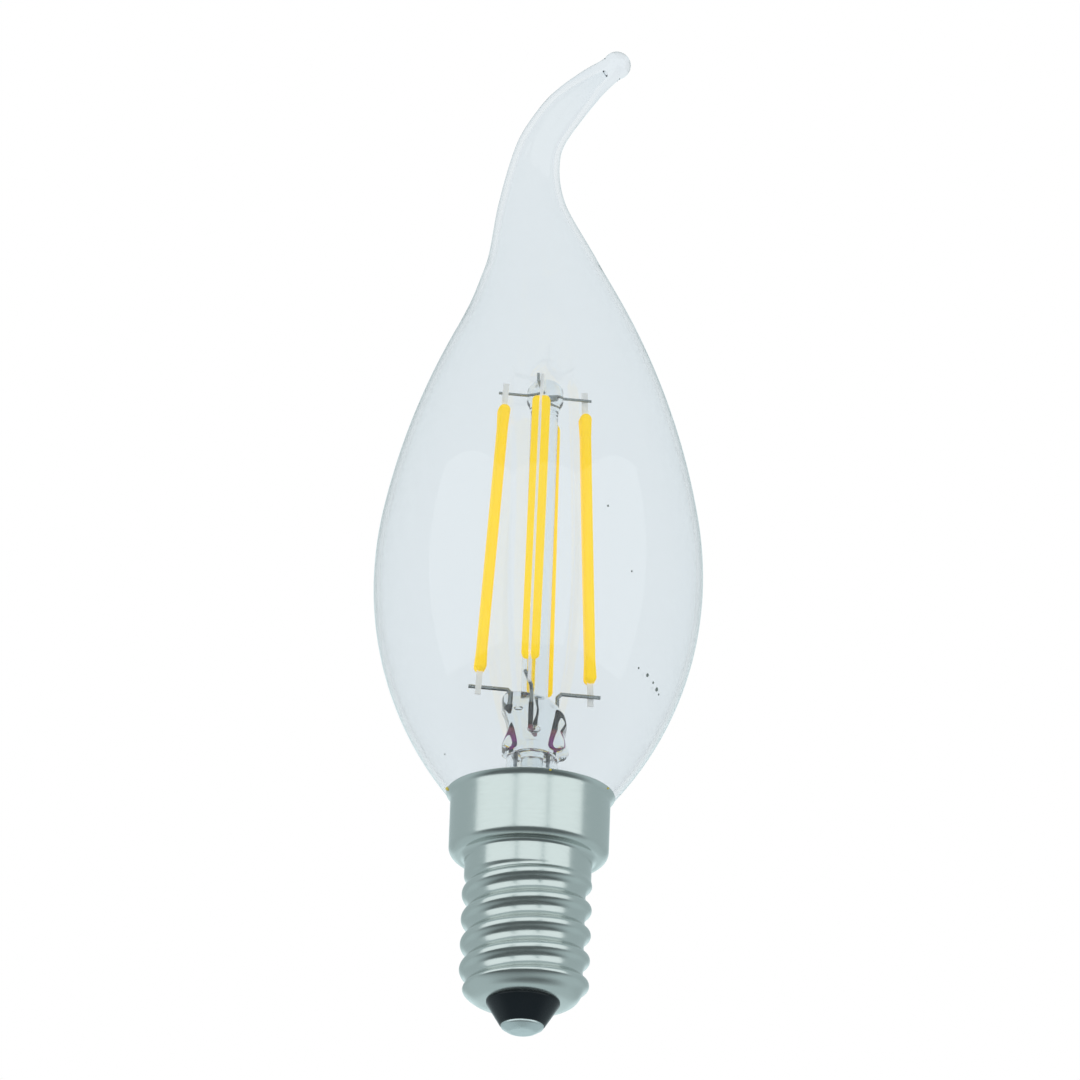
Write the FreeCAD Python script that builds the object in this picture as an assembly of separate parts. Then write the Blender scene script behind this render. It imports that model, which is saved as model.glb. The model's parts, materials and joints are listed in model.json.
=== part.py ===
"""Clear candle bulb with a bent flame tip, four light filaments and a small screw cap.

Millimetres. The origin is the centre of the flat on the bottom contact, and +Z runs up the bulb.
The tip bends over towards +X, and -Y is the front.
"""

import FreeCAD, Part
import math
import os
from FreeCAD import Vector

# Cap: bottom contact and insulator
contact_flat_radius = 1.5
contact_radius = 2.31
contact_height = 0.5
contact_shank_radius = 0.8
contact_shank_length = 5.1
insulator_bottom_radius = 2.4
insulator_flange_radius = 5.4
insulator_flange_height = 1.6

# Cap: screw shell, pressed from sheet
sheet = 0.28
shell_bottom = 3.35
mouth_radius = 4.0
shell_bottom_rounding = 1.5
thread_start = 3.6
thread_end = 17.3
thread_pitch = 2.822
thread_crest_radius = 6.92
thread_root_radius = 6.2
thread_crest_at_right = 5.4
neck_radius = 6.75
collar_radius = 8.5
collar_bottom = 19.5
collar_rounding = 1.0
neck_fillet = 0.6
lip_radius = 8.98
lip_step = 0.45
lip_bottom = 24.9
lip_top = 26.4

# Glass bulb
glass_wall = 0.6
glass_neck_radius = 7.5
glass_neck_bottom = 20.3
glass_neck_top = 23.8
cement_bottom = 21.5
cement_top = 23.5
bulb_radius = 17.5
bulb_widest_height = 50.5
glass_to_lip = 0.06
shoulder_curve = 40.0
shoulder_height = 7.5
taper_height = 20.5
taper_end_share = 0.566
bend_start_height = bulb_widest_height + shoulder_height + taper_height
body_flats = 10
cavity_flats = 6
tail_route = [(0, 0), (-0.8, 7.2), (-2.15, 14.6), (-1.75, 21.0), (0.15, 25.0), (3.35, 28.8), (6.35, 31.4)]
tail_shares = [(5.0, 0.757), (10.0, 0.54), (15.0, 0.374), (19.0, 0.283), (23.5, 0.232), (27.5, 0.217)]
tail_ring_shares = [0, 0.12, 0.24, 0.36, 0.46, 0.54, 0.61, 0.67, 0.73, 0.79, 0.85, 0.93, 1]
tail_level_share = 0.45
bead_radius = 1.5
bead_neck_radius = 1.42
cavity_end_before_bead = 2.9

# Stem: flare, tube, press and exhaust tube
flare_curve = 5.0
flare_wall = 0.6
flare_rim_top = 20.9
stem_radius = 2.75
stem_wall = 0.5
press_full_height = 31.4
press_height = 5.7
press_top = press_full_height + press_height
tube_in_press = 0.6
press_bottom = press_full_height + tube_in_press
press_half_width = 3.5
press_half_depth = 2.45
press_rounding = 1.6
press_chamfer = 0.6
exhaust_radius = 1.2
exhaust_wall = 0.35
exhaust_bottom = 17.9

# Glass rod with its melted button
rod_radius = 1.45
button_radius = 1.95
wire_above_button_centre = 0.2
button_flat_radius = 0.3
button_flats = 7

# Wires
arm_angle = {"left": 189.0, "front": 261.0, "right": 9.0, "back": 84.0}
top_wire_radius = 0.15
top_wire_height = 71.6
button_height = top_wire_height - wire_above_button_centre
top_wire_reach = 5.0
top_wire_in_button = 0.9
front_bend_height = 0.8
lead_radius = 0.21
lead_above_press = 1.2
lead_height = press_top + lead_above_press
lead_reach = {"left": 7.1, "front": 6.6, "right": 7.1, "back": 6.6}
lead_entry = {"left": 2.5, "front": 1.95, "right": 2.5, "back": 1.95}
lead_bend = 0.4
lead_end_depth = 0.7
lead_end_height = press_top - lead_end_depth
seal_radius = 0.25
seal_below_press = 1.0
seal_bottom = press_full_height - seal_below_press
seal_bottom_offset = 1.75
link_depth = 3.5
link_height = press_top - link_depth
outer_lead_radius = 0.2
weld_gap = 0.01

# Filaments
filament_below_wire = 1.5
filament_top_height = top_wire_height - filament_below_wire
filament_top_offset = 4.42
filament_above_lead = 1.6
filament_bottom_height = lead_height + filament_above_lead
strip_side = {"left": 1, "front": 1, "right": 1, "back": -1}
filament_bottom_offset = 6.01
strip_thickness = 0.3
strip_width = 1.0
coat_width = 1.08
coat_thickness = 0.8
coat_end_radius = 0.635
coat_chamfer = 0.25
pin_width = 0.62
pin_under_coat = 0.6
pin_past_wire = 0.95

# Driver in the cap
board_width = 10.4
board_thickness = 1.0
board_height = 11.6
board_notch_width = 2.6
board_notch_height = 2.2
solder_gap = 0.02
rectifier_size = Vector(4.7, 2.4, 3.9)
chip_size = Vector(4.0, 1.5, 2.6)
sense_resistor_size = Vector(3.2, 0.6, 1.6)
capacitor_radius = 2.5
capacitor_length = 7.0
fuse_radius = 1.0
fuse_length = 5.0
component_leg = 0.25

AXIS = Vector(0, 0, 1)
CENTRE = Vector(0, 0, 0)
rounding_flats = 3
nodes = {}


def rounded_corner(before, corner, after, radius):
    """The points that round one corner off, on an arc of the given radius that a few flats follow."""
    back = (before - corner).normalize()
    ahead = (after - corner).normalize()
    half_angle = back.getAngle(ahead) / 2
    middle = corner + (back + ahead).normalize() * radius / math.sin(half_angle)
    start = corner + back * radius / math.tan(half_angle) - middle
    end = corner + ahead * radius / math.tan(half_angle) - middle
    whole = math.pi - 2 * half_angle
    points = []
    for i in range(rounding_flats + 1):
        turn = whole * i / rounding_flats
        points.append(middle + (start * math.sin(whole - turn) + end * math.sin(turn)) / math.sin(whole))
    return points


def turned(rows):
    """A solid of revolution from a closed outline of rows of (radius, height, rounding)."""
    corners = [Vector(radius, 0, height) for radius, height, rounding in rows]
    outline = []
    for i, (radius, height, rounding) in enumerate(rows):
        if rounding:
            after = corners[(i + 1) % len(rows)]
            outline += rounded_corner(corners[i - 1], corners[i], after, rounding)
        else:
            outline.append(corners[i])
    return Part.Face(Part.makePolygon(outline + outline[:1])).revolve(CENTRE, AXIS, 360)


def swept(points, radius):
    """A round wire through points, bent sharply at each."""
    circle = Part.makeCircle(radius, points[0], (points[1] - points[0]).normalize())
    return Part.makePolygon(points).makePipeShell([Part.Wire(circle)], True, False, 1)


def block(size, centre):
    """A box of a given size about its centre."""
    return Part.makeBox(size.x, size.y, size.z, centre - size * 0.5)


def outward(side):
    """The direction in which the arm on one side points."""
    angle = math.radians(arm_angle[side])
    return Vector(math.cos(angle), math.sin(angle), 0)


def law(pairs):
    """A smooth value along a length, through (length, value) pairs."""
    curve = Part.BSplineCurve()
    points = [Vector(value, 0, length) for length, value in pairs]
    curve.interpolate(Points=points, Parameters=[length for length, value in pairs])
    return lambda length: curve.value(length).x


# Screw shell: one pressed sheet, with a round thread rolled into it
def thread_ridge():
    """The raised turns of a right-handed round thread, trimmed to run out at both ends."""
    height = (thread_crest_radius - thread_root_radius)
    rows = [(-0.42, -1.2), (-0.42, 0), (-0.2, 0.78), (0, 1), (0.2, 0.78), (0.42, 0), (0.42, -1.2)]
    first = thread_crest_at_right - thread_pitch
    turns = math.floor((thread_end - first) / thread_pitch) + 1
    helix = Part.makeLongHelix(thread_pitch, turns * thread_pitch, thread_root_radius)
    outline = [Vector(thread_root_radius + share * height, 0, part * thread_pitch) for part, share in rows]
    ridge = Part.Wire(helix.Edges).makePipeShell([Part.makePolygon(outline + outline[:1])], True, True)
    ridge.translate(Vector(0, 0, first))
    limit = turned([
        (0, thread_start, 0),
        (thread_root_radius - 0.45, thread_start, 0),
        (thread_crest_radius, thread_start + 1.3, 0),
        (thread_crest_radius, thread_end - 0.6, 0),
        (neck_radius, thread_end, 0),
        (0, thread_end, 0),
    ])
    return ridge.common(limit)


def cap_shell():
    outside = turned([
        (0, shell_bottom, 0),
        (thread_root_radius, shell_bottom, shell_bottom_rounding),
        (thread_root_radius, thread_end - 0.6, 0),
        (neck_radius, thread_end, 0),
        (neck_radius, collar_bottom - neck_fillet, 0),
        (neck_radius + neck_fillet, collar_bottom, 0),
        (collar_radius, collar_bottom, collar_rounding),
        (collar_radius, lip_bottom, 0),
        (lip_radius, lip_bottom + lip_step, 0),
        (lip_radius, lip_top, 0),
        (0, lip_top, 0),
    ])
    inside = turned([
        (0, shell_bottom + sheet, 0),
        (thread_root_radius - sheet - shell_bottom_rounding / 2, shell_bottom + sheet, 0),
        (thread_root_radius - sheet, shell_bottom + sheet + shell_bottom_rounding / 2, 0),
        (thread_root_radius - sheet, thread_end, 0),
        (neck_radius - sheet, thread_end + sheet, 0),
        (neck_radius - sheet, collar_bottom + sheet, 0),
        (collar_radius - collar_rounding, collar_bottom + sheet, 0),
        (collar_radius - sheet, collar_bottom + collar_rounding, 0),
        (collar_radius - sheet, lip_bottom + sheet / 2, 0),
        (lip_radius - sheet, lip_bottom + lip_step + sheet / 2, 0),
        (lip_radius - sheet, lip_top + 1, 0),
        (0, lip_top + 1, 0),
    ])
    mouth = Part.makeCylinder(mouth_radius, shell_bottom)
    mouth.translate(AXIS * shell_bottom / 2)
    return outside.fuse(thread_ridge()).cut([inside, mouth])


# Contact and insulator: a headed pin pressed into a plug that the shell's rounded bottom grips
def centre_contact():
    top = contact_height + contact_shank_length
    return turned([
        (0, 0, 0),
        (contact_flat_radius, 0, 0),
        (contact_radius - 0.25, contact_height / 4, 0),
        (contact_radius, contact_height * 0.75, 0),
        (contact_radius, contact_height, 0),
        (contact_shank_radius, contact_height, 0),
        (contact_shank_radius, top, 0),
        (0, top, 0),
    ])


def cap_insulator():
    flange_bottom = shell_bottom + sheet
    flange_top = flange_bottom + insulator_flange_height
    return turned([
        (contact_shank_radius, contact_height, 0),
        (insulator_bottom_radius, contact_height, 0),
        (mouth_radius, shell_bottom - 0.1, 0),
        (mouth_radius, flange_bottom, 0),
        (insulator_flange_radius - shell_bottom_rounding / 2, flange_bottom, 0),
        (insulator_flange_radius, flange_bottom + shell_bottom_rounding / 2, 0),
        (insulator_flange_radius, flange_top, 0),
        (contact_shank_radius, flange_top, 0),
    ])


def cap_cement(envelope):
    """The ring of cement that fills the space between the neck of the glass and the collar."""
    ring = turned([
        (glass_neck_radius - glass_wall / 2, cement_bottom, 0),
        (collar_radius - sheet, cement_bottom, 0),
        (collar_radius - sheet, cement_top, 0),
        (glass_neck_radius - glass_wall / 2, cement_top, 0),
    ])
    return ring.cut(envelope)


# Glass bulb: a turned body whose outline follows three arcs, and a tail drawn out along a bent axis
def arc_radius(start, normal, end):
    """The radius of the arc that leaves a point square to its outward normal and reaches another point."""
    step = end - start
    return -step.Length ** 2 / (2 * step.dot(normal))


def body_radius(height):
    """The outer radius of the straight part: belly, shoulder and taper, which run into each other."""
    widest = Vector(bulb_radius, 0, bulb_widest_height)
    if height <= bulb_widest_height:
        lip = Vector(lip_radius - sheet - glass_to_lip, 0, lip_top)
        curve = arc_radius(widest, Vector(1, 0, 0), lip)
        return bulb_radius - curve + math.sqrt(curve ** 2 - (height - bulb_widest_height) ** 2)
    turn = math.asin(shoulder_height / shoulder_curve)
    middle = Vector(bulb_radius - shoulder_curve, 0, bulb_widest_height)
    if height <= bulb_widest_height + shoulder_height:
        return middle.x + math.sqrt(shoulder_curve ** 2 - (height - bulb_widest_height) ** 2)
    normal = Vector(math.cos(turn), 0, math.sin(turn))
    start = middle + normal * shoulder_curve
    curve = arc_radius(start, normal, Vector(bulb_radius * taper_end_share, 0, bend_start_height))
    middle = start - normal * curve
    return middle.x + math.sqrt(curve ** 2 - (height - middle.z) ** 2)


def glass_body(inset):
    """The straight part of the bulb as a solid, or its cavity where it is drawn in by the wall."""
    outline = [Vector(0, 0, glass_neck_bottom), Vector(glass_neck_radius - inset, 0, glass_neck_bottom),
               Vector(glass_neck_radius - inset, 0, glass_neck_top)]
    rows = [i / body_flats for i in range(body_flats + 1)]
    if inset:
        rows = [i / cavity_flats for i in range(cavity_flats + 1)]
    for share in rows:
        height = lip_top + (bend_start_height - lip_top) * share
        step = glass_wall / 10
        turn = math.atan((body_radius(height + step) - body_radius(height - step)) / (2 * step)) if share < 1 else 0
        outline.append(Vector(body_radius(height) - inset * math.cos(turn), 0, height + inset * math.sin(turn)))
    outline.append(Vector(0, 0, bend_start_height))
    return Part.Face(Part.makePolygon(outline + outline[:1])).revolve(CENTRE, AXIS, 360)


def glass_tail(inset):
    """The bent part up to the middle of the bead, or its cavity, as rings that are joined one to the next.

    The lowest ring is level, and from the middle of the tail on they stand square to its axis.
    """
    points = [Vector(x, 0, bend_start_height + rise) for x, rise in tail_route]
    axis = Part.BSplineCurve()
    axis.interpolate(Points=points, InitialTangent=AXIS, FinalTangent=points[-1] - points[-2])
    length = axis.length()
    foot = body_radius(bend_start_height)
    drawn = [(0, foot)] + [(reach, foot * share) for reach, share in tail_shares]
    bead = [(length - 1.8 * bead_radius, (drawn[-1][1] + bead_neck_radius) / 2.2),
            (length - 0.8 * bead_radius, bead_neck_radius), (length, bead_neck_radius)]
    outer_radius = law(drawn + bead)
    end = length - (cavity_end_before_bead if inset else 0)
    rings = []
    for share in tail_ring_shares[::2] if inset else tail_ring_shares:
        at = axis.parameterAtDistance(end * share, axis.FirstParameter)
        radius = outer_radius(end * share) - inset
        along = axis.tangent(at)[0]
        lean = min(1, share / tail_level_share)
        rings.append(Part.Wire(Part.makeCircle(radius, axis.value(at), AXIS * (1 - lean) + along * lean)))
    tail = Part.makeLoft(rings, True, True)
    ball_radius = 0.98 * radius if inset else bead_radius
    ball = Part.makeSphere(ball_radius, axis.value(at), along, -90, 80)
    return tail.fuse(ball)


def glass_shape(inset):
    return glass_body(inset).fuse(glass_tail(inset))


def glass_envelope():
    return glass_shape(0).cut(glass_shape(glass_wall))


# Stem: a flared tube that the bulb's neck is sealed to, pinched to a press around the wires
def glass_stem(envelope, wires):
    rim = glass_neck_radius - glass_wall
    centre_radius = stem_radius + flare_curve
    reach = centre_radius - rim
    flare_height = flare_rim_top + math.sqrt(flare_curve ** 2 - reach ** 2)
    under = flare_curve + flare_wall
    rim_bottom = flare_height - math.sqrt(under ** 2 - reach ** 2)

    def on_curve(radius, degrees):
        angle = math.radians(degrees)
        return Vector(centre_radius - radius * math.cos(angle), 0, flare_height - radius * math.sin(angle))

    inner = stem_radius - stem_wall
    outline = [
        Vector(stem_radius, 0, press_bottom),
        on_curve(flare_curve, 0),
        on_curve(flare_curve, 40),
        Vector(rim, 0, flare_rim_top),
        Vector(rim, 0, rim_bottom),
        on_curve(under, 40),
        Vector(inner, 0, flare_height),
        Vector(inner, 0, press_bottom),
    ]
    tube = Part.Face(Part.makePolygon(outline + outline[:1])).revolve(CENTRE, AXIS, 360)
    size = Vector(2 * press_half_width, 2 * press_half_depth, press_top - press_full_height)
    press = block(size, Vector(0, 0, (press_top + press_full_height) / 2))
    upright = [edge for edge in press.Edges if abs(edge.tangentAt(0).z) > 0.9]
    press = press.makeFillet(press_rounding, upright)
    ends = [edge for edge in press.Edges if abs(edge.tangentAt(edge.FirstParameter).z) < 0.1]
    press = press.makeChamfer(press_chamfer, ends)
    drawn_end = Part.makeCone(exhaust_radius, exhaust_radius / 3, exhaust_radius,
                              Vector(0, 0, exhaust_bottom + exhaust_radius), AXIS * -1)
    straight = press_bottom - exhaust_bottom - exhaust_radius
    exhaust = Part.makeCylinder(exhaust_radius, straight, Vector(0, 0, exhaust_bottom + exhaust_radius))
    bore = Part.makeCylinder(exhaust_radius - exhaust_wall, straight, Vector(0, 0, exhaust_bottom + exhaust_radius))
    stem = tube.fuse([press, exhaust, drawn_end]).cut(bore)
    return stem.cut([envelope] + wires)


def support_rod(wires):
    outline = [Vector(0, 0, press_top), Vector(rod_radius, 0, press_top)]
    low = -math.acos(rod_radius / button_radius)
    high = math.acos(button_flat_radius / button_radius)
    for i in range(button_flats + 1):
        turn = low + (high - low) * i / button_flats
        outline.append(Vector(math.cos(turn), 0, math.sin(turn)) * button_radius + AXIS * button_height)
    outline.append(Vector(0, 0, outline[-1].z))
    return Part.Face(Part.makePolygon(outline + outline[:1])).revolve(CENTRE, AXIS, 360).cut(wires)


# Wires above the press
def top_wire(one, other):
    """A thin wire with an arm to each of two sides, bent where the button holds it."""
    points = [
        outward(one) * top_wire_reach,
        outward(one) * top_wire_in_button,
        outward(other) * top_wire_in_button,
        outward(other) * top_wire_reach,
    ]
    points = [point + AXIS * top_wire_height for point in points]
    if other == "front":
        points.append(points[-1] + outward(other) * top_wire_radius + AXIS * front_bend_height)
    return swept(points, top_wire_radius)


def inner_lead(side):
    """A wire that carries the foot of one filament and turns down into the press."""
    away = outward(side)
    points = [
        away * lead_reach[side] + AXIS * lead_height,
        away * (lead_entry[side] + lead_bend) + AXIS * lead_height,
        away * lead_entry[side] + AXIS * (lead_height - lead_bend),
        away * lead_entry[side] + AXIS * lead_end_height,
    ]
    return swept(points, lead_radius)


def seal_wire(side):
    """The wire that the glass seals to, from an inner lead down through the press."""
    away = outward(side)
    top = away * lead_entry[side] + AXIS * lead_end_height
    below = away * lead_entry[side] + AXIS * (lead_end_height - 1)
    foot = away * seal_bottom_offset + AXIS * (seal_bottom + 1)
    bottom = away * seal_bottom_offset + AXIS * seal_bottom
    return swept([top, below, foot, bottom], seal_radius)


def seal_link():
    """The wire in the press that joins the front filament to the back one."""
    front = outward("front") * lead_entry["front"]
    back = outward("back") * lead_entry["back"]
    points = [
        front + AXIS * lead_end_height,
        front + AXIS * link_height,
        back + AXIS * link_height,
        back + AXIS * lead_end_height,
    ]
    return swept(points, seal_radius)


# Filaments: a flat strip in a radial plane, a yellow coat on each face, and a flat pin at each end
class Filament:
    """One filament in its own frame: X across its width, Y through its thickness, Z along it."""

    def __init__(self, side):
        away = outward(side)
        beside = AXIS.cross(away) * strip_side[side]
        self.top = away * filament_top_offset + AXIS * filament_top_height
        self.top += beside * (top_wire_radius + strip_thickness / 2 + weld_gap)
        self.bottom = away * filament_bottom_offset + AXIS * filament_bottom_height
        self.bottom += beside * (lead_radius + strip_thickness / 2 + weld_gap)
        along = (self.top - self.bottom).normalize()
        through = (beside - along * along.dot(beside)).normalize()
        across = through.cross(along)
        self.length = (self.top - self.bottom).Length
        self.place = FreeCAD.Matrix(across.x, through.x, along.x, self.bottom.x,
                                    across.y, through.y, along.y, self.bottom.y,
                                    across.z, through.z, along.z, self.bottom.z, 0, 0, 0, 1)

    def placed(self, shape):
        placed = shape.copy()
        placed.Placement = FreeCAD.Placement(self.place).multiply(shape.Placement)
        return placed

    def strip(self):
        long = self.length - 2 * pin_under_coat
        return self.placed(block(Vector(strip_width, strip_thickness, long), Vector(0, 0, self.length / 2)))

    def coat(self):
        """Both layers, each with round swollen ends and a softened outer face."""
        end = coat_end_radius
        middle = Part.makeBox(coat_width, coat_thickness, self.length - 2 * end, Vector(-coat_width / 2, 0, end))
        ends = [Part.makeCylinder(end, coat_thickness, Vector(0, 0, z), Vector(0, 1, 0))
                for z in (end, self.length - end)]
        layer = middle.fuse(ends).removeSplitter()
        outer = [edge for edge in layer.Edges
                 if edge.Length > self.length / 2 and abs(edge.CenterOfMass.y - coat_thickness) < 0.001]
        layer = layer.makeChamfer(coat_chamfer, outer)
        layer.translate(Vector(0, strip_thickness / 2, 0))
        other = layer.mirror(CENTRE, Vector(0, 1, 0))
        return Part.makeCompound([self.placed(layer.Solids[0]), self.placed(other.Solids[0])])

    def pin(self, at_top):
        """The tag from under the coat, past the wire that it is welded to."""
        if at_top:
            low = self.length - pin_under_coat
            high = self.length + (top_wire_height - filament_top_height) + pin_past_wire
        else:
            low = -(filament_bottom_height - lead_height) - pin_past_wire
            high = pin_under_coat
        size = Vector(pin_width, strip_thickness, high - low)
        return self.placed(block(size, Vector(0, 0, (low + high) / 2)))


# Driver: a small board that stands on the insulator, with its parts and leads
insulator_top = shell_bottom + sheet + insulator_flange_height
board_top = insulator_top + board_height
face = board_thickness / 2


def driver_board():
    board = block(Vector(board_width, board_thickness, board_height),
                  Vector(0, 0, insulator_top + board_height / 2))
    notch = block(Vector(board_notch_width, board_thickness * 2, board_notch_height * 2),
                  Vector(0, 0, insulator_top))
    return board.cut(notch)


def legged_body(size, low, side, legs):
    """A moulded body on one face of the board, with a row of bent legs on its left and right."""
    middle = Vector(0, side * (face + size.y / 2), low + size.z / 2)
    body = block(size, middle)
    body = body.makeChamfer(size.y / 6, [edge for edge in body.Edges
                                         if abs(edge.CenterOfMass.y - side * (face + size.y)) < 0.001])
    thin = component_leg
    pieces = []
    for turn in (-1, 1):
        for i in range(legs):
            z = low + size.z * (i + 0.5) / legs
            x = turn * (size.x / 2 + thin)
            upright = block(Vector(thin, size.y / 2, 2 * thin),
                            Vector(x, side * (face + size.y / 4), z))
            reach = block(Vector(2 * thin, thin, 2 * thin),
                          Vector(x - turn * thin / 2, side * (face + size.y / 2), z))
            foot = block(Vector(3 * thin, thin, 2 * thin),
                         Vector(x + turn * thin, side * (face + thin / 2), z))
            pieces += [upright, reach, foot]
    return body.fuse(pieces)


def smoothing_capacitor():
    """A small can that lies against the back of the board, with a pressed ring near its leg end."""
    low = insulator_top + board_notch_height + 1
    middle = face + capacitor_radius + solder_gap
    r = capacitor_radius
    can = turned([
        (0, low, 0),
        (r, low, 0),
        (r, low + 0.9, 0),
        (r - 0.25, low + 1.15, 0),
        (r, low + 1.4, 0),
        (r, low + capacitor_length - 0.3, 0),
        (r - 0.3, low + capacitor_length, 0),
        (0, low + capacitor_length, 0),
    ])
    can.translate(Vector(0, middle, 0))
    legs = []
    for x in (-1, 1):
        points = [Vector(x, middle, low + 0.1), Vector(x, middle, low - 0.9), Vector(x, face, low - 0.9)]
        legs.append(swept(points, component_leg))
    return can.fuse(legs)


def fuse_resistor():
    """A coated resistor that stands off the front of the board on its two legs."""
    x = -board_width / 2 + fuse_radius + 0.3
    y = -face - fuse_radius - 0.1
    low = insulator_top + 2.2
    body = turned([
        (0, low, 0),
        (fuse_radius - 0.3, low, 0),
        (fuse_radius, low + 0.3, 0),
        (fuse_radius, low + fuse_length - 0.3, 0),
        (fuse_radius - 0.3, low + fuse_length, 0),
        (0, low + fuse_length, 0),
    ])
    body.translate(Vector(x, y, 0))
    legs = []
    for start, out in ((low, -1), (low + fuse_length, 1)):
        points = [Vector(x, y, start - out * 0.1), Vector(x, y, start + out * 0.8),
                  Vector(x, -face, start + out * 0.8)]
        legs.append(swept(points, component_leg))
    return body.fuse(legs)


def outer_lead(side):
    """Copper lead from a seal wire down to the top of the board's front face."""
    away = outward(side)
    direction = math.copysign(1, away.x)
    on_board = -face - outer_lead_radius - solder_gap
    points = [
        away * seal_bottom_offset + AXIS * seal_bottom,
        away * seal_bottom_offset + AXIS * (flare_rim_top - 1),
        Vector(direction * 3.2, on_board, board_top + 0.4),
        Vector(direction * 3.2, on_board, board_top - 1.6),
    ]
    return swept(points, outer_lead_radius)


def contact_lead():
    """From the top of the contact's shank through the notch to the board's front face."""
    start = contact_height + contact_shank_length
    on_board = -face - outer_lead_radius - solder_gap
    bend = insulator_top + board_notch_height - 0.9
    points = [
        Vector(0, 0, start),
        Vector(0, 0, bend - 0.5),
        Vector(0, on_board, bend),
        Vector(0, on_board, insulator_top + board_notch_height + 0.8),
    ]
    return swept(points, outer_lead_radius)


def shell_lead():
    """From the back face of the board up to the ledge inside the collar, where it is soldered."""
    on_board = face + outer_lead_radius + solder_gap
    ledge = collar_bottom + sheet + outer_lead_radius + 2 * solder_gap
    points = [
        Vector(4.3, on_board, board_top - 1.8),
        Vector(4.3, on_board, ledge),
        Vector(collar_radius - collar_rounding - 0.2, on_board, ledge),
    ]
    return swept(points, outer_lead_radius)


# Put together
for side in arm_angle:
    nodes["inner_lead_" + side] = inner_lead(side)
for side in ("left", "right"):
    nodes["seal_wire_" + side] = seal_wire(side)
    nodes["outer_lead_" + side] = outer_lead(side)
nodes["seal_link"] = seal_link()
in_press = [nodes["inner_lead_" + side] for side in arm_angle]
in_press += [nodes["seal_wire_left"], nodes["seal_wire_right"], nodes["seal_link"]]
nodes["glass_envelope"] = glass_envelope()
nodes["glass_stem"] = glass_stem(nodes["glass_envelope"], in_press)

nodes["top_wire_left_front"] = top_wire("left", "front")
nodes["top_wire_right_back"] = top_wire("right", "back")
nodes["support_rod"] = support_rod([nodes["top_wire_left_front"], nodes["top_wire_right_back"]])

for side in arm_angle:
    filament = Filament(side)
    nodes["strip_" + side] = filament.strip()
    nodes["phosphor_" + side] = filament.coat()
    nodes["pin_" + side + "_top"] = filament.pin(True)
    nodes["pin_" + side + "_bottom"] = filament.pin(False)

nodes["cap_shell"] = cap_shell()
nodes["cap_insulator"] = cap_insulator()
nodes["centre_contact"] = centre_contact()
nodes["cap_cement"] = cap_cement(nodes["glass_envelope"])

nodes["driver_board"] = driver_board()
nodes["bridge_rectifier"] = legged_body(rectifier_size, insulator_top + 3.4, -1, 2)
nodes["driver_chip"] = legged_body(chip_size, insulator_top + 8.2, -1, 3)
nodes["smoothing_capacitor"] = smoothing_capacitor()
nodes["sense_resistor"] = block(sense_resistor_size,
                                Vector(3, face + sense_resistor_size.y / 2, insulator_top + 1.2))
nodes["fuse_resistor"] = fuse_resistor()
nodes["contact_lead"] = contact_lead()
nodes["shell_lead"] = shell_lead()

os.makedirs("parts", exist_ok=True)
for name, shape in nodes.items():
    shape.exportStep("parts/" + name + ".step")
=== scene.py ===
import json
import math

import bmesh
import bpy
from mathutils import Matrix, Quaternion, Vector


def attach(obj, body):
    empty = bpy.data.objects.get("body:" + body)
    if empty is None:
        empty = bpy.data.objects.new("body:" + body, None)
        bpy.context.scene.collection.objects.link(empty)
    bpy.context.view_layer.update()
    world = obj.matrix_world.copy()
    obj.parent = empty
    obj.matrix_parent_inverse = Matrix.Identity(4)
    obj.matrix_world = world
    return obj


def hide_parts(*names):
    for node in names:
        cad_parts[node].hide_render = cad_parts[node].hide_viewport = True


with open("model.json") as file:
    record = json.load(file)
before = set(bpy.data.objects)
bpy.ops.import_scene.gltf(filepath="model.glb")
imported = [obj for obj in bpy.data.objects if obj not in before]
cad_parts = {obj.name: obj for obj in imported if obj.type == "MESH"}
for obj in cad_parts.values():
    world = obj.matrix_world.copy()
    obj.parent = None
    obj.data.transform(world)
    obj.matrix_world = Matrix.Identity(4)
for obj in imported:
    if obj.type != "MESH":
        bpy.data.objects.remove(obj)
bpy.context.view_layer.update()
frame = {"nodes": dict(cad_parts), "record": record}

# Camera
# A long lens well below the lamp, looking up at it, with the lamp leaning a little to the right.
# It stands far off, so the lamp shows nearly without perspective.
MM = 0.001
aim = Vector((0, 0, 55.5 * MM))
look_up = math.radians(20.2)
lean = math.radians(2.1)
distance = 3.0
ahead = Vector((0, math.cos(look_up), math.sin(look_up)))
camera = bpy.data.objects.new("camera", bpy.data.cameras.new("camera"))
bpy.context.collection.objects.link(camera)
camera.data.lens = 940
camera.data.sensor_width = 36
camera.data.clip_start = 0.1
camera.location = aim - ahead * distance
camera.rotation_mode = "QUATERNION"
camera.rotation_quaternion = ahead.to_track_quat("-Z", "Y") @ Quaternion((0, 0, 1), lean)
bpy.context.scene.camera = camera
bpy.context.scene.view_settings.view_transform = "Standard"

# Studio
# A white cloth behind, three tall soft panels in front, and a plain pale floor far below the lamp.
# Metal mirrors the room with a cool cast: the cloth brightest, the front grey, and dark grey low in front.
world = bpy.data.worlds.new("studio")
bpy.context.scene.world = world
world.use_nodes = True
sky = world.node_tree
sky.nodes.clear()
behind_white = 1.0
front_grey = 0.55
below_front_grey = 0.14
below_grey = 0.62
room_fill = 0.95
room_tint = (0.80, 0.97, 1.0, 1)
cloth_edge = (0.88, 0.97)
below_front_edge = (-0.3, 0.25)
below_edge = (-0.5, -0.22)


def feed(tree, socket, value):
    """Gives a socket a plain number, or the output of another node."""
    if isinstance(value, (int, float)):
        socket.default_value = value
    else:
        tree.links.new(value, socket)


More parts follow.
